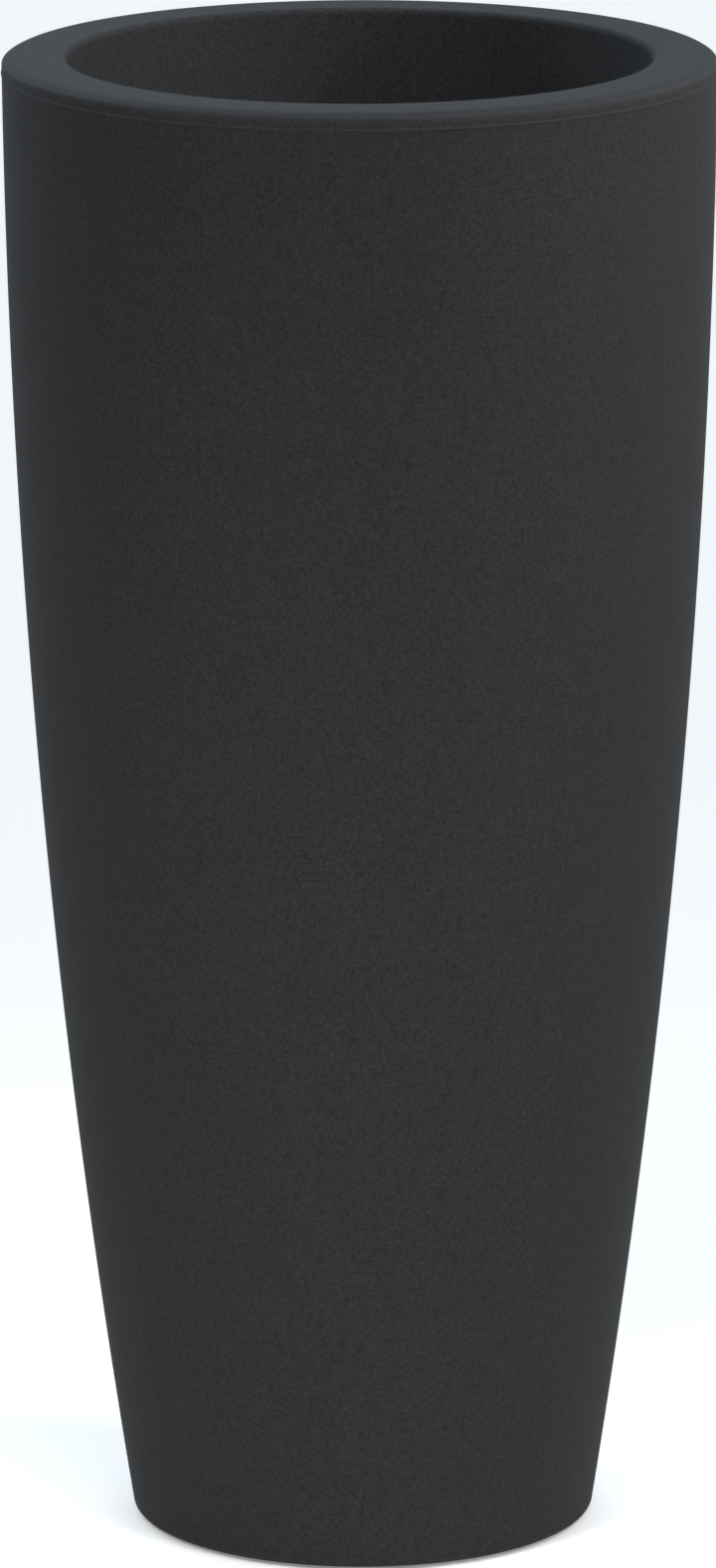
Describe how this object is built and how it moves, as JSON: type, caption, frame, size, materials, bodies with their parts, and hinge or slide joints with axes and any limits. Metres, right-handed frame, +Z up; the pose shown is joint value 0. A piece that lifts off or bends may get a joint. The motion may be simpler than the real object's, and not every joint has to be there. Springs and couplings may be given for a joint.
{
  "type": "tall planter",
  "caption": "Tall round tapered floor planter with a bowed side and broad flat rim; a hanging liner pot with folding handles lifts out, and a plug closes the drain in the base.",
  "frame": {"origin": "on the floor, under the middle of the base", "axes": "+Z up along the planter's middle axis, -Y towards the front, +X to the right seen from the front"},
  "size_m": [0.4267, 0.4268, 0.9],
  "materials": {
    "shell_plastic": "matte, finely grained, rotation moulded",
    "foot_rubber": "matte",
    "liner_plastic": "satin, injection moulded",
    "pin_steel": "drawn stainless pin",
    "handle_plastic": "satin, injection moulded",
    "plug_plastic": "satin, injection moulded",
    "washer_rubber": "matte"
  },
  "bodies": {
    "shell": {"outer_shell": "shell_plastic", "foot_pad_front_left": "foot_rubber", "foot_pad_front_right": "foot_rubber", "foot_pad_back_left": "foot_rubber", "foot_pad_back_right": "foot_rubber"},
    "liner": {"liner_pot": "liner_plastic", "handle_pins_left": "pin_steel", "handle_pins_right": "pin_steel"},
    "left_handle": {"handle_left": "handle_plastic"},
    "right_handle": {"handle_right": "handle_plastic"},
    "plug": {"drain_plug": "plug_plastic", "plug_washer": "washer_rubber"}
  },
  "joints": [
    {"name": "liner_lift", "type": "slide", "parent": "shell", "child": "liner", "axis": [0, 0, 1], "range_m": [0, 0.5]},
    {"name": "left_handle_fold", "type": "hinge", "parent": "liner", "child": "left_handle", "pos_m": [-0.12508, 0, 0.7979], "axis": [0, 1, 0], "range_deg": [0, 90]},
    {"name": "right_handle_fold", "type": "hinge", "parent": "liner", "child": "right_handle", "pos_m": [0.12508, 0, 0.7979], "axis": [0, -1, 0], "range_deg": [0, 90]},
    {"name": "drain_plug_pull", "type": "slide", "parent": "shell", "child": "plug", "axis": [0, 0, -1], "range_m": [0, 0.04]}
  ]
}
